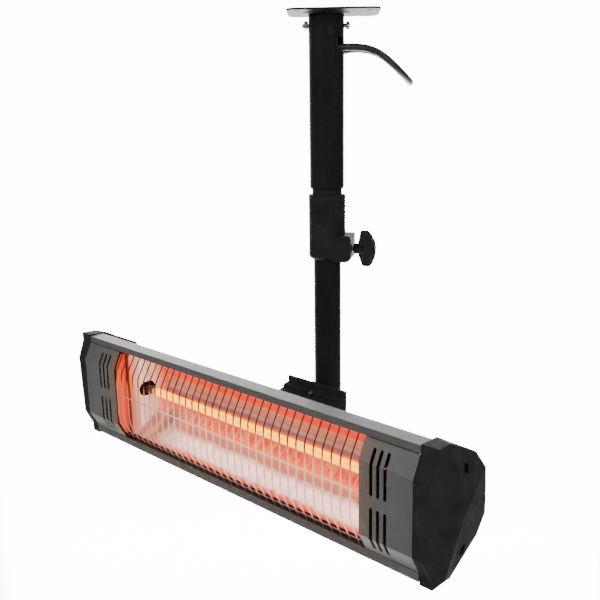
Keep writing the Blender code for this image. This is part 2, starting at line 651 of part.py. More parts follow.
CORD_ROUTE = (
    (0.0195, 0.0, -0.0426), (0.0275, 0.0001, -0.0427), (0.0356, 0.0017, -0.0431), (0.0429, 0.0043, -0.0436),
    (0.0534, 0.0094, -0.0450), (0.0596, 0.0135, -0.0474), (0.0649, 0.0182, -0.0504), (0.0697, 0.0237, -0.0549),
    (0.0733, 0.0308, -0.0606), (0.0757, 0.0396, -0.0668), (0.0762, 0.0493, -0.0724), (0.0746, 0.0599, -0.0769),
    (0.0709, 0.0726, -0.0810), (0.0642, 0.0855, -0.0828), (0.0548, 0.0963, -0.0802), (0.0440, 0.1042, -0.0749),
    (0.0333, 0.1084, -0.0684), (0.0232, 0.1096, -0.0610), (0.0146, 0.1085, -0.0541), (0.0065, 0.1056, -0.0478),
    (-0.0015, 0.1008, -0.0430), (-0.0110, 0.0928, -0.0393), (-0.0225, 0.0825, -0.0378), (-0.0340, 0.0726, -0.0398),
    (-0.0440, 0.0647, -0.0445), (-0.0522, 0.0587, -0.0520), (-0.0580, 0.0545, -0.0617), (-0.0610, 0.0522, -0.0725),
    (-0.0616, 0.0517, -0.0803),
)
HANK_NEAR = 0.0290
HANK_FOLD = 6 * CORD_DIAMETER
HANK_TOP_Z = -0.1014
HANK_RUN = 0.1400
HANK_MIDDLE = HANK_NEAR + HANK_FOLD / 2
HANK_HALF_WIDTH = (HANK_TURNS + 1) * CORD_DIAMETER / 2
STRAP_SLACK = 0.0004
STRAP = 0.0015


def supply_cord():
    round_cord("power_cord", CORD_ROUTE, CORD_DIAMETER, "rubber_black")
    slot = Matrix.Translation((0, 0, SLOT_Z))
    grommet = solid("slot_grommet", prism(slot_outline(0.0194, 0.0053), "X", 0.0185, 0.0224), "rubber_black",
                    frame=slot)
    cut(grommet, prism(slot_outline(0.0182, 0.00465), "X", 0.010, 0.030), slot)
    outer = HANK_FOLD / 2 + CORD_DIAMETER / 2
    outline = arc((HANK_MIDDLE, HANK_TOP_Z), outer, 0, 180, 12)
    outline += arc((HANK_MIDDLE, HANK_TOP_Z - HANK_RUN), outer, 180, 360, 12)
    solid("cord_hank", prism(outline, "X", -HANK_HALF_WIDTH, HANK_HALF_WIDTH), "rubber_black", frame=MOUNT_FRAME)


def hank_strap():
    """Band round the spare cord, on a stick-on pad that fits the back of the pole."""
    z = HANK_TOP_Z - HANK_RUN / 2
    half_x = HANK_HALF_WIDTH + STRAP_SLACK
    half_y = (HANK_FOLD + CORD_DIAMETER) / 2 + STRAP_SLACK
    hole = rounded_box((-half_x, HANK_MIDDLE - half_y), (half_x, HANK_MIDDLE + half_y), 0.0003, 1)
    half_x += STRAP
    half_y += STRAP
    band = rounded_box((-half_x, HANK_MIDDLE - half_y), (half_x, HANK_MIDDLE + half_y), 0.0035, 3)
    strap = solid("hank_strap", prism(band, "Z", z - 0.008, z + 0.008), "rubber_black", frame=MOUNT_FRAME)
    cut(strap, prism(hole, "Z", z - 0.02, z + 0.02), MOUNT_FRAME)
    pad = [(-0.0085, HANK_NEAR - 0.0052), (0.0085, HANK_NEAR - 0.0052)]
    pad += arc((0, 0), OUTER_TUBE_RADIUS + GAP, 67, 113, 6)
    weld(strap, prism(pad, "Z", z - 0.012, z + 0.012), MOUNT_FRAME)


def supply_plug():
    """Grounded plug at the end of the last run, blades pointing down."""
    top = HANK_TOP_Z - HANK_RUN - 0.0227
    frame = MOUNT_FRAME @ Matrix.Translation((0.0100, HANK_NEAR + HANK_FOLD, top))
    relief = [(0, 0), (0.0060, 0), (0.0066, -0.0080), (0.0085, -0.0240), (0, -0.0240)]
    body = solid("plug_body", turned(relief, 20), "rubber_black", frame=frame)
    shell = rounded_box((-0.0125, -0.0120), (0.0125, 0.0120), 0.0050)
    weld(body, prism(shell, "Z", -0.0470, -0.0210), frame)
    tip = -0.0473
    for name, x in (("line", -0.0064), ("neutral", 0.0064)):
        blade = rounded_box((x - 0.0008, -0.0055), (x + 0.0008, 0.0007), 0.0003, 1)
        solid(f"plug_blade_{name}", prism(blade, "Z", tip - 0.0160, tip), "brass", frame=frame)
    ground = turned([(0, tip), (0.0024, tip), (0.0024, tip - 0.0160), (0.0012, tip - 0.0190), (0, tip - 0.0192)], 16)
    solid("plug_pin_ground", ground, "brass", frame=frame @ Matrix.Translation((0, 0.0070, 0)))


def build():
    clear_scene()
    clamp_axis = Vector((math.cos(CLAMP_TURN), math.sin(CLAMP_TURN), 0))
    slide = joint_empty("pole_slide_axis", (0, 0, INNER_TUBE_TOP_Z))
    swivel = joint_empty("pole_swivel_axis", (0, 0, INNER_TUBE_END_Z))
    tilt = joint_empty("head_tilt_axis", (0, *section(PIVOT_SECTION)[0]))
    pad = joint_empty("clamp_travel_axis", clamp_axis * COLLAR_BORE + Vector((0, 0, CLAMP_Z)))
    knob = joint_empty("knob_turn_axis", clamp_axis * 0.040 + Vector((0, 0, CLAMP_Z)))
    ceiling_plate()
    upper_tube()
    cross_bolt()
    clamp_collar()
    clamp_screw(pad, knob)
    telescopic_tube(slide, swivel)
    tilt_bracket(swivel)
    tilt_hinge(tilt)
    housing(tilt)
    louvre_panel("left_louvre_panel", 0.5, PANEL_LEFT_END, (36.0, 45.2, 54.4), tilt)
    louvre_panel("right_louvre_panel", PANEL_RIGHT_START, 553.5, (504.4, 512.9, 521.4), tilt)
    end_cap("left_end_cap", -0.3, -1, tilt)
    end_cap("right_end_cap", HEAD_LENGTH / MM + 0.3, 1, tilt)
    end_frame("left_end_frame", 1.6, tilt)
    end_frame("right_end_frame", 551.2, tilt)
    cap_screws("left", -0.3, -1, tilt)
    cap_screws("right", HEAD_LENGTH / MM + 0.3, 1, tilt)
    wiring_cover(tilt)
    wire_guard(tilt)
    reflector(tilt)
    lamp(tilt)
    wiring(tilt)
    supply_cord()
    hank_strap()
    supply_plug()


build()
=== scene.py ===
"""Looks of the ceiling-hung infrared strip heater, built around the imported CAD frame.

Metres, in the frame's own axes: the origin is the middle of the ceiling plate's top face, +Z is up,
+X runs along the head and -Y is the side that the lamp faces.
"""
import math

import bmesh
import bpy
from mathutils import Matrix, Vector


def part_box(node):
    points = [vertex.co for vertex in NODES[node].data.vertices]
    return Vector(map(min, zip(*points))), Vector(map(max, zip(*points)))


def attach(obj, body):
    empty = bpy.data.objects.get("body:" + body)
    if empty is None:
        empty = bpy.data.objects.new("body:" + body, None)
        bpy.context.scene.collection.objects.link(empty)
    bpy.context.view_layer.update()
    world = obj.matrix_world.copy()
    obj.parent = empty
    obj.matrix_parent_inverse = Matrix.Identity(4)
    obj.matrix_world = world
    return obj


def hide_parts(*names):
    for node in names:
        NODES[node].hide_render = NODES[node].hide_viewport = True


MM = 0.001
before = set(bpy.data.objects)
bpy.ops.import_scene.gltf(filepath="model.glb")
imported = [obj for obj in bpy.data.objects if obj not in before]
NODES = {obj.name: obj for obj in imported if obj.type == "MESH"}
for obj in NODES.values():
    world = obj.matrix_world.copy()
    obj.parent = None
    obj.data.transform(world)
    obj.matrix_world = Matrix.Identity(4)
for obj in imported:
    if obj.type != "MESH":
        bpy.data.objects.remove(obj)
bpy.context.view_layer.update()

# Camera: its place; its turn, downward tilt and roll in degrees; its lens and sensor in millimetres.
CAMERA_PLACE = (0.6411, -0.7337, -0.1242)
CAMERA_TURN = 43.27
CAMERA_DOWN = 13.44
CAMERA_ROLL = -0.75
CAMERA_LENS = 45.74
CAMERA_SENSOR = 36
CAMERA_NEAR = 0.01

# Studio: three area lights, each as name, place, size and power in watts.
WORLD_LIGHT = 0.3
LIGHT_TARGET = (0, -0.1, -0.35)
AREA_LIGHTS = (
    ("key", (-0.3, -1.9, 0.6), (1.2, 0.9), 16.5),
    ("side", (1.9, -0.1, 0.1), (0.5, 1.2), 9),
    ("top", (-0.2, 0.9, 1.5), (1.2, 0.8), 6),
)

# Backdrop: a floor, a bend and a wall, all turned to face the camera.
FLOOR_Z = -1.6
FLOOR_NEAR = -3.0
FLOOR_FAR = 1.5
FLOOR_HALF_WIDTH = 5.0
BEND_RADIUS = 1.0
BEND_STEPS = 12
WALL_HEIGHT = 4.0

# The paper's light is painted on as emission, only where it lies behind the heater in the main view. Its
# light fades in with depth, and out past the sides of a wedge that starts beside the camera, and past a
# height. These are places along, behind and above the frame's origin, turned with the floor.
PAPER_LIGHT = 13.0
LIT_FROM_Y = (0.2, 0.7)
LIT_TO_Z = (0.42, 0.55)
WEDGE_POINT = (-0.036, -0.97)
WEDGE_SLOPE = (0.43, 0.48)

# Supply cord: its way out of the slot, then a hank of folds behind the tube that ends in the plug.
CORD_DIAMETER = 0.0084
CORD_ROUTE = (
    (0.0195, 0.0, -0.0426), (0.0275, 0.0001, -0.0427), (0.0356, 0.0017, -0.0431),
    (0.0429, 0.0043, -0.0436), (0.0534, 0.0094, -0.0450), (0.0596, 0.0135, -0.0474),
    (0.0649, 0.0182, -0.0504), (0.0697, 0.0237, -0.0549), (0.0733, 0.0308, -0.0606),
    (0.0757, 0.0396, -0.0668), (0.0762, 0.0493, -0.0724), (0.0746, 0.0599, -0.0769),
    (0.0709, 0.0726, -0.0810), (0.0642, 0.0855, -0.0828), (0.0548, 0.0963, -0.0802),
    (0.0440, 0.1042, -0.0749), (0.0333, 0.1084, -0.0684), (0.0232, 0.1096, -0.0610),
    (0.0146, 0.1085, -0.0541), (0.0065, 0.1056, -0.0478), (-0.0015, 0.1008, -0.0430),
    (-0.0110, 0.0928, -0.0393), (-0.0225, 0.0825, -0.0378), (-0.0340, 0.0726, -0.0398),
    (-0.0440, 0.0647, -0.0445), (-0.0522, 0.0587, -0.0520), (-0.0580, 0.0545, -0.0617),
    (-0.0610, 0.0522, -0.0725), (-0.0616, 0.0517, -0.0803),
)
HANK_TURN = math.radians(41.0)
HANK_NEAR = 0.0290
HANK_FOLD = 6 * CORD_DIAMETER
HANK_TOP_Z = -0.1014
HANK_RUN = 0.1400
HANK_RUNS = 7
RUN_STEPS = 12
FOLD_STEPS = 14
PLUG_X = 0.0100

# Head, in metres: its ends, the front edge of the top rail, and the louvre panels' inner edges.
HEAD_LEFT_X = -0.277
HEAD_RIGHT_X = 0.277
FRONT_Y = -0.1875
RAIL_TOP_Z = -0.4175
LEFT_PANEL_EDGE_X = -0.207
RIGHT_PANEL_EDGE_X = 0.2125

# Places in head millimetres: along from the left end, behind and above the top rail's front edge.
LAMP_MIDDLE = 280.0
LAMP_SECTION = (37.0, -69.0)
GUARD_FIRST_WIRE = 72.6
GUARD_PITCH = 12.27
GUARD_WIRES = 34
GUARD_BEND = (
    (5.4, -5.8), (4.4, -10.9), (-9.2, -34.2), (-9.2, -97.0), (-7.0, -106.5), (4.6, -128.8), (6.4, -134.0),
)
GUARD_BARS = ((6.0, -9.4), (-7.6, -67.0), (6.4, -128.8))
BAR_OVERHANG = 1.4
BAR_STEPS = 8

# Wires, in metres.
WIRE_RADIUS = 0.0008
WIRE_BEND_RADIUS = 0.006
COIL_WIRE_RADIUS = 0.0006
COIL_RADIUS = 0.0034
COIL_END_GAP = 0.002
COIL_TURNS = 100
COIL_STEPS = 10

# Strength of the emission: the lamp's own light in the coil and quartz, and painted lamp light on the
# reflector and guard wires.
REFLECTOR_GLOW = 2.5
WIRE_GLOW = 1.5
COIL_GLOW = 5.0
QUARTZ_GLOW = 2.6
QUARTZ_ALPHA = 0.55

# Emission colours of the reflector's bands: painted reflections of the lamp and its glow.
RED = (0.44, 0.014, 0.005)
ORANGE_RED = (0.8, 0.12, 0.04)
RIPPLE_RED = (0.54, 0.03, 0.012)
RIPPLE_ORANGE = (0.66, 0.15, 0.06)
SALMON = (0.46, 0.12, 0.075)
PALE = (1.0, 0.64, 0.57)
TAN = (0.30, 0.095, 0.05)
IMAGE = (0.22, 0.12, 0.10)
IMAGE_DARK = (0.12, 0.055, 0.045)

NOISE_ROUGHNESS = 0.55
BEVEL_SAMPLES = 4


# Geometry helpers ----------------------------------------------------------------------------

def section_point(x, y, z):
    """Head millimetres to the frame's metres."""
    return Vector((HEAD_LEFT_X + x * MM, FRONT_Y + y * MM, RAIL_TOP_Z + z * MM))


def spread(points, steps):
    """Points of a smooth curve through a list of places."""
    route = [Vector(p) for p in points]
    ends = [2 * route[0] - route[1]] + route + [2 * route[-1] - route[-2]]
    fine = []
    for i in range(1, len(ends) - 2):
        a, b, c, d = ends[i - 1:i + 3]
        for k in range(steps):
            t = k / steps
            fine.append(0.5 * (2 * b + (c - a) * t + (2 * a - 5 * b + 4 * c - d) * t ** 2
                               + (3 * b - a - 3 * c + d) * t ** 3))
    return fine + [route[-1]]


def tube(name, paths, radius, finish, body, resolution):
    """Round wire or cord along one or more paths, as one curve object that rides on a body."""
    data = bpy.data.curves.new(name, "CURVE")
    data.dimensions = "3D"
    data.bevel_depth = radius
    data.bevel_resolution = resolution
    data.use_fill_caps = True
    for path in paths:
        spline = data.splines.new("POLY")
        spline.points.add(len(path) - 1)
        for knot, place in zip(spline.points, path):
            knot.co = (*place, 1.0)
    made = bpy.data.objects.new(name, data)
    bpy.context.collection.objects.link(made)
    made.data.materials.append(finish)
    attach(made, body)
    return made


# Camera, light and floor ---------------------------------------------------------------------

def camera():
    """The scene's camera, at the place and turn given above."""
    data = bpy.data.cameras.new("camera")
    data.lens = CAMERA_LENS
    data.sensor_width = CAMERA_SENSOR
    data.clip_start = CAMERA_NEAR
    made = bpy.data.objects.new("camera", data)
    bpy.context.collection.objects.link(made)
    turn = Matrix.Rotation(math.radians(CAMERA_TURN), 4, "Z")
    down = Matrix.Rotation(math.radians(90 - CAMERA_DOWN), 4, "X")
    roll = Matrix.Rotation(math.radians(CAMERA_ROLL), 4, "Z")
    made.matrix_world = Matrix.Translation(CAMERA_PLACE) @ turn @ down @ roll
    bpy.context.scene.camera = made


def area_light(name, place, size, power):
    """White rectangular light that points at the middle of the heater."""
    data = bpy.data.lights.new(name, "AREA")
    data.shape = "RECTANGLE"
    data.size, data.size_y = size
    data.energy = power
    made = bpy.data.objects.new(name, data)
    bpy.context.collection.objects.link(made)
    made.location = place
    made.rotation_euler = (Vector(LIGHT_TARGET) - Vector(place)).to_track_quat("-Z", "Y").to_euler()


def studio():
    """Even world light, the backdrop and the soft area lights."""
    world = bpy.data.worlds.new("studio")
    bpy.context.scene.world = world
    world.use_nodes = True
    background = world.node_tree.nodes["Background"]
    background.inputs["Color"].default_value = (1.0, 1.0, 1.0, 1.0)
    background.inputs["Strength"].default_value = WORLD_LIGHT
    backdrop()
    for name, place, size, power in AREA_LIGHTS:
        area_light(name, place, size, power)


def backdrop():
    """Pale floor that curves up into a wall behind the heater."""
    turn = Matrix.Rotation(math.radians(CAMERA_TURN), 4, "Z")
    angles = [math.pi / 2 * i / BEND_STEPS for i in range(BEND_STEPS + 1)]
    bend = [(FLOOR_FAR + BEND_RADIUS * math.sin(angle), BEND_RADIUS * (1 - math.cos(angle)))
            for angle in angles]
    profile = [(FLOOR_NEAR, 0.0), (FLOOR_FAR, 0.0)] + bend + [(FLOOR_FAR + BEND_RADIUS, WALL_HEIGHT)]
    mesh = bmesh.new()
    rows = [[mesh.verts.new(turn @ Vector((x, y, FLOOR_Z + z))) for y, z in profile]
            for x in (-FLOOR_HALF_WIDTH, FLOOR_HALF_WIDTH)]
    for i in range(len(profile) - 1):
        mesh.faces.new((rows[0][i], rows[1][i], rows[1][i + 1], rows[0][i + 1]))
    data = bpy.data.meshes.new("backdrop")
    mesh.to_mesh(data)
    mesh.free()
    data.shade_smooth()
    data.materials.append(backdrop_paper())
    made = bpy.data.objects.new("backdrop", data)
    bpy.context.collection.objects.link(made)


def backdrop_paper():
    """Plain paper with painted light: emission only in the wedge that lies behind the heater in the main
    view.
    """
    made, tree, shader = surface("backdrop_paper", (0.7, 0.7, 0.7), 0.9)
    turned = tree.nodes.new("ShaderNodeMapping")
    turned.inputs["Rotation"].default_value = (0, 0, math.radians(-CAMERA_TURN))
    where = tree.nodes.new("ShaderNodeTexCoord")
    tree.links.new(where.outputs["Object"], turned.inputs["Vector"])
    split = tree.nodes.new("ShaderNodeSeparateXYZ")
    tree.links.new(turned.outputs["Vector"], split.inputs["Vector"])
    lit = ranged(tree, split.outputs["Y"], *LIT_FROM_Y, 0.0, PAPER_LIGHT)
    aside = arithmetic(tree, "ABSOLUTE", arithmetic(tree, "SUBTRACT", split.outputs["X"], WEDGE_POINT[0]))
    behind = arithmetic(tree, "SUBTRACT", split.outputs["Y"], WEDGE_POINT[1])
    slope = arithmetic(tree, "DIVIDE", aside, behind)
    lit = arithmetic(tree, "MULTIPLY", lit, ranged(tree, slope, *WEDGE_SLOPE, 1.0, 0.0))
    lit = arithmetic(tree, "MULTIPLY", lit, ranged(tree, split.outputs["Z"], *LIT_TO_Z, 1.0, 0.0))
    tree.links.new(lit, shader.inputs["Emission Strength"])
    shader.inputs["Emission Color"].default_value = (1, 1, 1, 1)
    return made


# Materials -----------------------------------------------------------------------------------

def surface(name, colour, roughness, metallic=0.0):
    """New material, its node tree and its Principled shader."""
    made = bpy.data.materials.new(name)
    made.use_nodes = True
    shader = made.node_tree.nodes["Principled BSDF"]
    shader.inputs["Base Color"].default_value = (*colour, 1.0)
    shader.inputs["Roughness"].default_value = roughness
    shader.inputs["Metallic"].default_value = metallic
    return made, made.node_tree, shader


def place_socket(tree, stretch=(1, 1, 1)):
    """Object coordinates, which are the frame's own, stretched for a grain."""
    where = tree.nodes.new("ShaderNodeTexCoord")
    mapping = tree.nodes.new("ShaderNodeMapping")
    mapping.inputs["Scale"].default_value = stretch
    tree.links.new(where.outputs["Object"], mapping.inputs["Vector"])
    return mapping.outputs["Vector"]


def noise(tree, scale, stretch=(1, 1, 1), detail=3.0):
    """Noise from 0 to 1 in the frame's coordinates."""
    made = tree.nodes.new("ShaderNodeTexNoise")
    made.inputs["Scale"].default_value = scale
    made.inputs["Detail"].default_value = detail
    made.inputs["Roughness"].default_value = NOISE_ROUGHNESS
    tree.links.new(place_socket(tree, stretch), made.inputs["Vector"])
    return made.outputs["Fac"]


def ramp(tree, value, stops):
    """Colour ramp. A stop is (place, colour) or (place, grey)."""
    made = tree.nodes.new("ShaderNodeValToRGB")
    elements = made.color_ramp.elements
    while len(elements) < len(stops):
        elements.new(0.5)
    for element, (place, colour) in zip(elements, stops):
        element.position = place
        shade = colour if isinstance(colour, tuple) else (colour, colour, colour)
        element.color = (*shade, 1.0)
    tree.links.new(value, made.inputs["Fac"])
    return made.outputs["Color"]


def mixed(tree, factor, first, second, kind="MIX"):
    """Colour mix of two sockets or colours, by a socket or a number."""
    made = tree.nodes.new("ShaderNodeMix")
    made.data_type = "RGBA"
    made.blend_type = kind
    for name, value in (("Factor_Float", factor), ("A_Color", first), ("B_Color", second)):
        socket = next(s for s in made.inputs if s.identifier == name)
        if isinstance(value, bpy.types.NodeSocket):
            tree.links.new(value, socket)
        else:
            socket.default_value = value if isinstance(value, float) else (*value, 1.0)
    return next(s for s in made.outputs if s.identifier == "Result_Color")


def ranged(tree, value, low, high, first, last):
    """A socket from one range to another, clamped."""
    made = tree.nodes.new("ShaderNodeMapRange")
    for name, number in (("From Min", low), ("From Max", high), ("To Min", first), ("To Max", last)):
        made.inputs[name].default_value = number
    tree.links.new(value, made.inputs["Value"])
    return made.outputs["Result"]


def spans(tree, axis, low, high):
    """0 to 1 along one axis of the frame, between two places in metres."""
    split = tree.nodes.new("ShaderNodeSeparateXYZ")
    tree.links.new(place_socket(tree), split.inputs["Vector"])
    return ranged(tree, split.outputs[axis], low, high, 0.0, 1.0)


def arithmetic(tree, operation, first, second=0.0):
    """Result of one math operation on sockets or numbers."""
    made = tree.nodes.new("ShaderNodeMath")
    made.operation = operation
    for socket, value in zip(made.inputs, (first, second)):
        if isinstance(value, bpy.types.NodeSocket):
            tree.links.new(value, socket)
        else:
            socket.default_value = value
    return made.outputs["Value"]


def faces_lamp(tree):
    """1 on the faces that look towards the middle of the lamp, 0 on the others."""
    where = tree.nodes.new("ShaderNodeTexCoord")
    towards = tree.nodes.new("ShaderNodeVectorMath")
    towards.operation = "SUBTRACT"
    towards.inputs[0].default_value = section_point(LAMP_MIDDLE, *LAMP_SECTION)
    tree.links.new(where.outputs["Object"], towards.inputs[1])
    agreement = tree.nodes.new("ShaderNodeVectorMath")
    agreement.operation = "DOT_PRODUCT"
    tree.links.new(where.outputs["Normal"], agreement.inputs[0])
    tree.links.new(towards.outputs["Vector"], agreement.inputs[1])
    return arithmetic(tree, "GREATER_THAN", agreement.outputs["Value"], 0.0)


def finish_surface(tree, shader, height, strength, distance, edge=0.0):
    """Bump from a height socket, over edges softened to a radius where one is given."""
    bump = tree.nodes.new("ShaderNodeBump")
    bump.inputs["Strength"].default_value = strength
    bump.inputs["Distance"].default_value = distance
    tree.links.new(height, bump.inputs["Height"])
    if edge:
        soft = tree.nodes.new("ShaderNodeBevel")
        soft.samples = BEVEL_SAMPLES
        soft.inputs["Radius"].default_value = edge
        tree.links.new(soft.outputs["Normal"], bump.inputs["Normal"])
    tree.links.new(bump.outputs["Normal"], shader.inputs["Normal"])


def powder_coat():
    """Satin black powder coat: a fine orange peel over soft grey blotches."""
    made, tree, shader = surface("powder_coat", (0.008, 0.008, 0.0085), 0.4)
    blotch = ramp(tree, noise(tree, 26, (1, 1, 0.4)),
                  [(0.3, (0.016, 0.0163, 0.0170)), (0.75, (0.024, 0.024, 0.0245))])
    tree.links.new(blotch, shader.inputs["Base Color"])
    tree.links.new(ramp(tree, noise(tree, 140), [(0.3, 0.4), (0.7, 0.52)]), shader.inputs["Roughness"])
    shader.inputs["Specular IOR Level"].default_value = 0.02
    finish_surface(tree, shader, noise(tree, 900, detail=2.0), 0.12, 0.0003, 0.0007)
    return made


def moulded_plastic(name, colour, edge):
    """Matt black moulding with a spark-eroded grain."""
    made, tree, shader = surface(name, (colour, colour, colour), 0.55)
    blotch = ramp(tree, noise(tree, 40),
                  [(0.3, (colour * 0.8, colour * 0.83, colour * 0.86)), (0.75, colour * 1.35)])
    tree.links.new(blotch, shader.inputs["Base Color"])
    tree.links.new(ramp(tree, noise(tree, 220), [(0.3, 0.5), (0.7, 0.62)]), shader.inputs["Roughness"])
    shader.inputs["Specular IOR Level"].default_value = 0.012
    finish_surface(tree, shader, noise(tree, 1500), 0.16, 0.0003, edge)
    return made


def rubber(name):
    """Satin black rubber."""
    made, tree, shader = surface(name, (0.016, 0.016, 0.017), 0.5)
    tree.links.new(ramp(tree, noise(tree, 60), [(0.3, (0.011, 0.011, 0.012)), (0.8, (0.024, 0.024, 0.025))]),
                   shader.inputs["Base Color"])
    tree.links.new(ramp(tree, noise(tree, 300), [(0.35, 0.42), (0.7, 0.6)]), shader.inputs["Roughness"])
    finish_surface(tree, shader, noise(tree, 700), 0.1, 0.0003)
    return made


def woven_strap():
    """Black woven tape."""
    made, tree, shader = surface("woven_strap", (0.014, 0.014, 0.015), 0.85)
    weave = tree.nodes.new("ShaderNodeTexWave")
    weave.wave_type = "BANDS"
    weave.inputs["Scale"].default_value = 260
    weave.inputs["Distortion"].default_value = 1.5
    tree.links.new(place_socket(tree, (1, 1, 1.6)), weave.inputs["Vector"])
    tree.links.new(ramp(tree, weave.outputs["Fac"], [(0.2, 0.009), (0.8, 0.028)]),
                   shader.inputs["Base Color"])
    finish_surface(tree, shader, weave.outputs["Fac"], 0.5, 0.0004)
    shader.inputs["Sheen Weight"].default_value = 0.3
    return made


def bright_metal(name, colour, roughness):
    """Bare or plated metal with faint darker patches."""
    made, tree, shader = surface(name, colour, roughness, 1.0)
    dark = tuple(c * 0.72 for c in colour)
    tree.links.new(ramp(tree, noise(tree, 180), [(0.3, dark), (0.7, colour)]), shader.inputs["Base Color"])
    tree.links.new(ramp(tree, noise(tree, 400), [(0.3, roughness - 0.08), (0.7, roughness + 0.12)]),
                   shader.inputs["Roughness"])
    finish_surface(tree, shader, noise(tree, 1100), 0.08, 0.0002, 0.0003)
    return made


def casing_aluminium():
    """Satin anodised casing: a fine grain along X, with the lamp's warm glow painted on between the panels,
    and painted light on the top faces, cooler and lighter towards the left end.
    """
    made, tree, shader = surface("casing_aluminium", (0.2, 0.2, 0.19), 0.5, 0.35)
    along = spans(tree, "X", HEAD_LEFT_X, HEAD_RIGHT_X)
    # Painted light: the lamp's warm glow between the panels, and lighter top faces towards the left end.
    painted_lamp_warmth = ramp(tree, along, [(0.0, (0.15, 0.15, 0.148)), (0.12, (0.165, 0.15, 0.137)),
                              (0.5, (0.175, 0.155, 0.14)), (0.84, (0.165, 0.15, 0.137)),
                              (1.0, (0.16, 0.16, 0.158))])
    painted_top_light = ramp(tree, along, [(0.0, (0.21, 0.212, 0.212)), (1.0, (0.13, 0.134, 0.134))])
    facing = tree.nodes.new("ShaderNodeSeparateXYZ")
    tree.links.new(tree.nodes.new("ShaderNodeTexCoord").outputs["Normal"], facing.inputs["Vector"])
    painted_light_tint = mixed(tree, ranged(tree, facing.outputs["Z"], 0.5, 0.9, 0.0, 1.0), painted_lamp_warmth, painted_top_light)
    grain = noise(tree, 60, (1, 30, 30), 4.0)
    base = mixed(tree, 0.3, painted_light_tint, ramp(tree, grain, [(0.3, 0.6), (0.7, 1.0)]), "MULTIPLY")
    tree.links.new(base, shader.inputs["Base Color"])
    tree.links.new(ramp(tree, grain, [(0.3, 0.45), (0.7, 0.58)]), shader.inputs["Roughness"])
    shader.inputs["Specular IOR Level"].default_value = 0.2
    finish_surface(tree, shader, noise(tree, 80, (1, 30, 30), 4.0), 0.08, 0.0002, 0.0007)
    return made


def panel_grey(name, glow_edge_x, glow_fade_x):
    """Satin grey louvre panel, with the lamp's warm glow painted on towards the edge that is next to the
    lamp.
    """
    made, tree, shader = surface(name, (0.15, 0.15, 0.15), 0.42, 0.15)
    across = spans(tree, "X", glow_edge_x, glow_fade_x)
    # Painted lamp glow near the inner edge, fading to grey towards the outer end.
    base = ramp(tree, across, [(0.0, (0.27, 0.19, 0.145)), (0.3, (0.19, 0.175, 0.16)),
                               (0.6, (0.165, 0.165, 0.165)), (1.0, (0.15, 0.15, 0.152))])
    flake = ramp(tree, noise(tree, 1800, detail=1.0), [(0.35, 0.82), (0.65, 1.0)])
    tree.links.new(mixed(tree, 1.0, base, flake, "MULTIPLY"), shader.inputs["Base Color"])
    tree.links.new(ramp(tree, noise(tree, 90), [(0.3, 0.38), (0.7, 0.48)]), shader.inputs["Roughness"])
    shader.inputs["Specular IOR Level"].default_value = 0.2
    finish_surface(tree, shader, noise(tree, 1200), 0.06, 0.0002, 0.0006)
    return made


def guard_wire():
    """Drawn wire with the lamp's light painted on as base colour and glow: brown above it, pale pink below
    it, dark at the tops, dimmer towards the left end.
    """
    made, tree, shader = surface("guard_wire", (0.3, 0.18, 0.14), 0.3, 1.0)
    height = spans(tree, "Z", RAIL_TOP_Z - 0.130, RAIL_TOP_Z - 0.030)
    # Painted light and shade in the base colour: lighter near the lamp, dark at the tops.
    painted_light_tint = ramp(tree, height, [(0.0, (0.3, 0.2, 0.17)), (0.8, (0.5, 0.32, 0.26)),
                               (0.9, (0.14, 0.07, 0.05)), (1.0, (0.1, 0.05, 0.04))])
    blotch = ramp(tree, noise(tree, 60), [(0.3, 0.75), (0.7, 1.0)])
    tree.links.new(mixed(tree, 1.0, painted_light_tint, blotch, "MULTIPLY"), shader.inputs["Base Color"])
    # Painted lamp light as emission, with painted shade towards the left end.
    glow = ramp(tree, height, [(0.0, (0.05, 0.025, 0.02)), (0.06, (0.25, 0.13, 0.11)),
                               (0.16, (0.75, 0.47, 0.41)), (0.7, (0.78, 0.44, 0.35)),
                               (0.8, (0.7, 0.25, 0.16)), (0.86, (0.4, 0.03, 0.01)),
                               (0.9, (0.02, 0.004, 0.002))])
    far_end_shade = ramp(tree, spans(tree, "X", HEAD_LEFT_X + 0.070, HEAD_LEFT_X + 0.190),
                   [(0.0, (0.42, 0.2, 0.16)), (0.45, (0.5, 0.34, 0.3)), (1.0, 1.0)])
    tree.links.new(mixed(tree, 1.0, glow, far_end_shade, "MULTIPLY"), shader.inputs["Emission Color"])
    shader.inputs["Emission Strength"].default_value = WIRE_GLOW
    tree.links.new(ramp(tree, noise(tree, 500, (1, 1, 0.1)), [(0.3, 0.25), (0.7, 0.4)]),
                   shader.inputs["Roughness"])
    finish_surface(tree, shader, noise(tree, 900, (1, 1, 0.1)), 0.08, 0.0002)
    return made


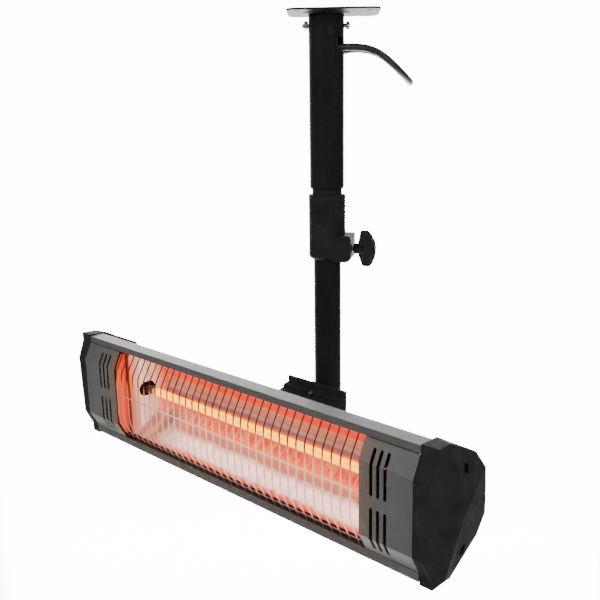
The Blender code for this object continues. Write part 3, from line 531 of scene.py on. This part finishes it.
def lit_reflector():
    """Polished trough with the lamp's light painted on as emission over a warm base: the lamp's painted
    images above, a rippled red band below, pale towards the front, and painted shade on the lower bands
    towards the left end.
    """
    made, tree, shader = surface("lit_reflector", (0.22, 0.1, 0.075), 0.22, 1.0)
    height = spans(tree, "Z", RAIL_TOP_Z - 0.130, RAIL_TOP_Z - 0.040)
    waver = noise(tree, 45, (1, 1, 1), 2.0)
    height = arithmetic(tree, "ADD", height, ranged(tree, waver, 0.3, 0.7, -0.012, 0.012))
    # Painted reflections of the lamp and its glow, as emission bands by height.
    bands = ramp(tree, height, [
        (0.03, RIPPLE_RED), (0.05, RIPPLE_ORANGE), (0.07, PALE), (0.135, PALE),
        (0.20, SALMON), (0.285, SALMON), (0.30, RIPPLE_RED), (0.41, RIPPLE_RED),
        (0.43, ORANGE_RED), (0.51, ORANGE_RED), (0.54, RED),
        (0.56, IMAGE_DARK), (0.60, IMAGE_DARK), (0.615, RED), (0.63, IMAGE), (0.675, IMAGE),
        (0.69, RED), (0.71, TAN), (0.80, TAN), (0.85, RED), (1.0, RED),
    ])
    ripple = noise(tree, 300, (1.0, 0.12, 0.12), 2.0)
    rippled = mixed(tree, ranged(tree, ripple, 0.42, 0.62, 0.0, 1.0), RIPPLE_RED, RIPPLE_ORANGE)
    red_band = arithmetic(tree, "MULTIPLY", ranged(tree, height, 0.27, 0.31, 0.0, 1.0),
                          ranged(tree, height, 0.39, 0.42, 1.0, 0.0))
    bands = mixed(tree, red_band, bands, rippled)
    glow_streak = ramp(tree, noise(tree, 120, (1.0, 0.15, 0.15)), [(0.35, (0.75, 0.7, 0.7)), (0.6, 1.0)])
    bands = mixed(tree, 0.8, bands, glow_streak, "MULTIPLY")
    near_end = spans(tree, "X", HEAD_LEFT_X + 0.11, HEAD_LEFT_X + 0.18)
    low = ranged(tree, height, 0.30, 0.42, 1.0, 0.0)
    # Painted shade on the lower bands towards the left end.
    painted_end_shade = ramp(tree, noise(tree, 60, (1.0, 0.3, 0.3)),
                [(0.35, (0.1, 0.05, 0.04)), (0.5, (0.34, 0.1, 0.065)), (0.7, (0.5, 0.17, 0.11))])
    shade = arithmetic(tree, "MULTIPLY", arithmetic(tree, "SUBTRACT", 1.0, near_end), low)
    bands = mixed(tree, shade, bands, painted_end_shade)
    tree.links.new(bands, shader.inputs["Emission Color"])
    # Painted light only on the faces that look towards the lamp.
    tree.links.new(arithmetic(tree, "MULTIPLY", faces_lamp(tree), REFLECTOR_GLOW),
                   shader.inputs["Emission Strength"])
    finish_surface(tree, shader, noise(tree, 200, (1.0, 0.3, 0.3), 2.0), 0.3, 0.0006)
    return made


def lit_reflector_end():
    """Polished end plate with the lamp's glow painted on as emission: red along its front lip, pale beside
    the lamp and orange at the back.
    """
    made, tree, shader = surface("lit_reflector_end", (0.22, 0.12, 0.09), 0.28, 1.0)
    depth = spans(tree, "Y", FRONT_Y - 0.004, FRONT_Y + 0.076)
    # Painted lamp glow across the plate's depth, with a thin dark band behind the red lip.
    painted_glow_wash = ramp(tree, depth, [(0.0, RIPPLE_RED), (0.13, RED), (0.155, (0.06, 0.01, 0.006)),
                              (0.18, RIPPLE_ORANGE), (0.27, (0.62, 0.3, 0.22)), (0.5, (0.78, 0.45, 0.36)),
                              (0.68, (0.6, 0.25, 0.17)), (0.82, RIPPLE_ORANGE), (1.0, RED)])
    glow_streak = ramp(tree, noise(tree, 70, (1.0, 1.2, 0.12)), [(0.3, (0.55, 0.4, 0.38)), (0.65, 1.0)])
    tree.links.new(mixed(tree, 0.9, painted_glow_wash, glow_streak, "MULTIPLY"), shader.inputs["Emission Color"])
    tree.links.new(arithmetic(tree, "MULTIPLY", faces_lamp(tree), REFLECTOR_GLOW),
                   shader.inputs["Emission Strength"])
    finish_surface(tree, shader, noise(tree, 120), 0.15, 0.0005)
    return made


def glowing_coil():
    """Hot wire, mottled from orange to yellow."""
    made, tree, shader = surface("glowing_coil", (1.0, 0.6, 0.2), 0.5)
    heat = ramp(tree, noise(tree, 160), [(0.38, (1.0, 0.25, 0.0)), (0.55, (1.0, 0.6, 0.0))])
    tree.links.new(heat, shader.inputs["Emission Color"])
    shader.inputs["Emission Strength"].default_value = COIL_GLOW
    return made


def hot_quartz():
    """Clear quartz with the coil's light in it: yellow, with orange between the coil's supports."""
    made, tree, shader = surface("hot_quartz", (0.5, 0.25, 0.1), 0.08)
    shader.inputs["Alpha"].default_value = QUARTZ_ALPHA
    along = spans(tree, "X", HEAD_LEFT_X + 0.093, HEAD_LEFT_X + 0.463)
    heat = ramp(tree, along, [(0.0, (0.3, 0.03, 0.0)), (0.02, (1.0, 0.55, 0.0)),
                              (0.98, (1.0, 0.55, 0.0)), (1.0, (0.3, 0.03, 0.0))])
    grain = ramp(tree, noise(tree, 170), [(0.38, (0.9, 0.35, 0.15)), (0.5, 1.0)])
    tree.links.new(mixed(tree, 1.0, heat, grain, "MULTIPLY"), shader.inputs["Emission Color"])
    shader.inputs["Emission Strength"].default_value = QUARTZ_GLOW
    finish_surface(tree, shader, noise(tree, 160), 0.1, 0.0003)
    return made


def speckled(name, dark, light, roughness, scale):
    """Ceramic, nylon and sleeve surfaces: a mottled colour and a slight bump."""
    made, tree, shader = surface(name, light, roughness)
    tree.links.new(ramp(tree, noise(tree, scale), [(0.3, dark), (0.7, light)]), shader.inputs["Base Color"])
    finish_surface(tree, shader, noise(tree, scale * 3), 0.15, 0.0003, 0.0004)
    return made


# Pieces --------------------------------------------------------------------------------------

def hank_path():
    """Down and up runs of the folded cord, each half a diameter further along, then the way to the plug."""
    middle = HANK_NEAR + HANK_FOLD / 2
    radius = HANK_FOLD / 2
    low = HANK_TOP_Z - HANK_RUN
    step = CORD_DIAMETER / 2
    path = []
    for run in range(HANK_RUNS):
        x = (run - (HANK_RUNS - 1) / 2) * step
        down = run % 2 == 0
        side = radius if down else -radius
        heights = (HANK_TOP_Z, low) if down else (low, HANK_TOP_Z)
        for i in range(RUN_STEPS):
            path.append((x, middle + side, heights[0] + (heights[1] - heights[0]) * i / RUN_STEPS))
        if run == HANK_RUNS - 1:
            break
        for i in range(FOLD_STEPS):
            turn = math.pi * i / FOLD_STEPS
            centre = low if down else HANK_TOP_Z
            drop = -math.sin(turn) if down else math.sin(turn)
            path.append((x + step * i / FOLD_STEPS, middle + side * math.cos(turn), centre + radius * drop))
    # The last run bends a little towards the plug and ends in it.
    edge = HANK_RUNS // 2 * step
    path += [(edge, middle + radius, low), (edge - 0.0006, middle + radius, low - 0.008),
             (PLUG_X + 0.0006, middle + radius, low - 0.019), (PLUG_X, middle + radius, low - 0.027)]
    turn = Matrix.Rotation(HANK_TURN, 4, "Z")
    return [turn @ Vector(p) for p in path]


def supply_cord(finish):
    """The cord from its slot in the tube to the plug, stowed behind the tube."""
    out = spread(CORD_ROUTE, 4)
    path = out + spread(hank_path(), 1)[1:]
    cord = tube("supply_cord", [path], CORD_DIAMETER / 2, finish, "ceiling_mount", 4)
    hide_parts("power_cord", "cord_hank")


def rounded_corners(points, radius, steps):
    """Path with its inner corners replaced by arcs of about the given radius."""
    path = [Vector(points[0])]
    for before, corner, after in zip(points, points[1:], points[2:]):
        a, b, c = Vector(before), Vector(corner), Vector(after)
        cut = min(radius, (a - b).length / 2, (c - b).length / 2)
        start, end = b + (a - b).normalized() * cut, b + (c - b).normalized() * cut
        for i in range(steps + 1):
            t = i / steps
            path.append(start * (1 - t) ** 2 + b * 2 * t * (1 - t) + end * t ** 2)
    return path + [Vector(points[-1])]


def guard(finish):
    """Bent upright wires and the three long bars behind them, as one piece."""
    paths = []
    for i in range(GUARD_WIRES):
        x = GUARD_FIRST_WIRE + i * GUARD_PITCH
        paths.append(rounded_corners([section_point(x, y, z) for y, z in GUARD_BEND], WIRE_BEND_RADIUS, 4))
    start = GUARD_FIRST_WIRE - BAR_OVERHANG
    length = (GUARD_WIRES - 1) * GUARD_PITCH + 2 * BAR_OVERHANG
    for y, z in GUARD_BARS:
        paths.append([section_point(start + length * i / BAR_STEPS, y, z) for i in range(BAR_STEPS + 1)])
    wires = tube("guard_wires", paths, WIRE_RADIUS, finish, "head", 2)
    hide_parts("wire_guard")


def coil(finish):
    """The lamp's wound wire."""
    low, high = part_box("filament")
    centre = section_point(0, *LAMP_SECTION)
    start = low.x + COIL_END_GAP
    length = high.x - low.x - 2 * COIL_END_GAP
    steps = COIL_TURNS * COIL_STEPS
    path = []
    for i in range(steps + 1):
        turn = 2 * math.pi * i / COIL_STEPS
        path.append((start + length * i / steps, centre.y + COIL_RADIUS * math.cos(turn),
                     centre.z + COIL_RADIUS * math.sin(turn)))
    made = tube("filament_coil", [path], COIL_WIRE_RADIUS, finish, "head", 1)
    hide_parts("filament")


def paint(finish, *names):
    """Give CAD pieces one material."""
    for name in names:
        NODES[name].data.materials.clear()
        NODES[name].data.materials.append(finish)


def dress_nodes():
    """A material for every CAD piece that stays in view."""
    paint(powder_coat(), "ceiling_plate", "plate_spigot", "upper_tube", "lower_tube", "hinge_bracket")
    paint(moulded_plastic("moulded_plastic", 0.027, 0.0009),
          "tube_blanking_plug", "clamp_collar", "wing_knob", "tube_end_plug", "rear_bracket", "pole_saddle",
          "wiring_cover")
    paint(moulded_plastic("cap_plastic", 0.031, 0.0016), "left_end_cap", "right_end_cap")
    paint(rubber("grommet_rubber"), "slot_grommet", "plug_body")
    paint(woven_strap(), "hank_strap")
    paint(bright_metal("zinc_plate", (0.55, 0.56, 0.58), 0.28),
          "cross_bolt", "cross_bolt_nut", "clamp_nut", "knob_stud", "saddle_bolt_upper", "saddle_bolt_lower",
          "pivot_bolt", "pivot_nut", "hinge_screw_left", "hinge_screw_right",
          "left_end_frame", "right_end_frame",
          "cap_screw_left_upper", "cap_screw_left_lower", "cap_screw_right_upper", "cap_screw_right_lower")
    paint(bright_metal("brass_blades", (0.62, 0.44, 0.18), 0.25),
          "clamp_pad", "plug_blade_line", "plug_blade_neutral", "plug_pin_ground")
    # Dark grey metal on the lamp bases and holders.
    paint(bright_metal("dark_steel", (0.10, 0.10, 0.105), 0.4),
          "lamp_base_left", "lamp_base_right", "lamp_holder_left", "lamp_holder_right")
    paint(speckled("nylon", (0.6, 0.6, 0.56), (0.72, 0.72, 0.68), 0.5, 300),
          "guide_bush", "friction_washer_left", "friction_washer_right", "thermal_cutout")
    paint(speckled("steatite", (0.66, 0.62, 0.54), (0.8, 0.77, 0.7), 0.6, 300), "terminal_block")
    paint(speckled("glass_sleeve", (0.4, 0.36, 0.3), (0.62, 0.57, 0.48), 0.8, 700),
          "lamp_lead_left", "lamp_lead_right")
    paint(casing_aluminium(), "housing")
    paint(panel_grey("left_panel_grey", LEFT_PANEL_EDGE_X, HEAD_LEFT_X), "left_louvre_panel")
    paint(panel_grey("right_panel_grey", RIGHT_PANEL_EDGE_X, HEAD_RIGHT_X), "right_louvre_panel")
    paint(lit_reflector(), "reflector")
    paint(lit_reflector_end(), "reflector_end_left", "reflector_end_right")
    paint(hot_quartz(), "quartz_tube")


camera()
supply_cord(rubber("cord_rubber"))
studio()
dress_nodes()
guard(guard_wire())
coil(glowing_coil())
